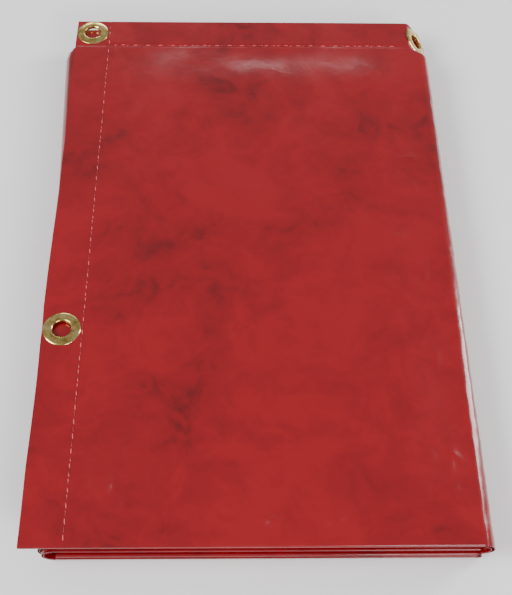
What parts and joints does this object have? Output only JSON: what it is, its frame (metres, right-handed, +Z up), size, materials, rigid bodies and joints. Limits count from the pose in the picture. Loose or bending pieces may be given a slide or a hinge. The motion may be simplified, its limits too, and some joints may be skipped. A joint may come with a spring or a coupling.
{
  "type": "welding curtain screen",
  "caption": "Coloured vinyl welding screen with stitched hems and brass grommets, folded flat for the shelf, with leaves that open.",
  "frame": {"origin": "middle of the folded pack's footprint, on the surface it lies on", "axes": "+Z up, +Y from the near fold to the far edge, along the pack's length, +X to the right as seen from the near side"},
  "size_m": [0.3166, 0.474, 0.0339],
  "materials": {
    "vinyl": "press-polished translucent red vinyl, glossy, slightly clouded",
    "brass": "stamped and rolled brass, bright with darker edges",
    "thread": "red polyester seam thread, lock stitched"
  },
  "bodies": {
    "base": {"bottom_leaf": "vinyl", "inner_leaf": "vinyl", "inner_bend": "vinyl", "left_bend": "vinyl", "right_hem_grommet_1": "brass", "right_hem_washer_1": "brass", "right_hem_grommet_2": "brass", "right_hem_washer_2": "brass", "right_hem_grommet_3": "brass", "right_hem_washer_3": "brass", "right_hem_grommet_4": "brass", "right_hem_washer_4": "brass", "right_hem_grommet_5": "brass", "right_hem_washer_5": "brass", "right_hem_grommet_6": "brass", "right_hem_washer_6": "brass", "right_hem_grommet_7": "brass", "right_hem_washer_7": "brass"},
    "middle": {"middle_leaf": "vinyl", "right_bend": "vinyl"},
    "top": {"top_leaf": "vinyl", "side_hem_thread": "thread", "top_hem_thread": "thread", "top_hem_grommet": "brass", "top_hem_washer": "brass", "left_hem_grommet_1": "brass", "left_hem_washer_1": "brass", "left_hem_grommet_2": "brass", "left_hem_washer_2": "brass", "left_hem_grommet_3": "brass", "left_hem_washer_3": "brass", "left_hem_grommet_4": "brass", "left_hem_washer_4": "brass", "left_hem_grommet_5": "brass", "left_hem_washer_5": "brass", "left_hem_grommet_6": "brass", "left_hem_washer_6": "brass", "left_hem_grommet_7": "brass", "left_hem_washer_7": "brass"}
  },
  "joints": [
    {"name": "middle_leaf_opens", "type": "hinge", "parent": "base", "child": "middle", "pos_m": [-0.13814, 0, 0.01065], "axis": [0.0453, -0.999, 0], "range_deg": [0, 179], "deforming": ["left_bend"]},
    {"name": "top_leaf_opens", "type": "hinge", "parent": "middle", "child": "top", "pos_m": [0.14881, 0, 0.02465], "axis": [0, 1, 0], "range_deg": [0, 179], "deforming": ["right_bend", "top_hem_grommet", "top_hem_washer"]}
  ]
}
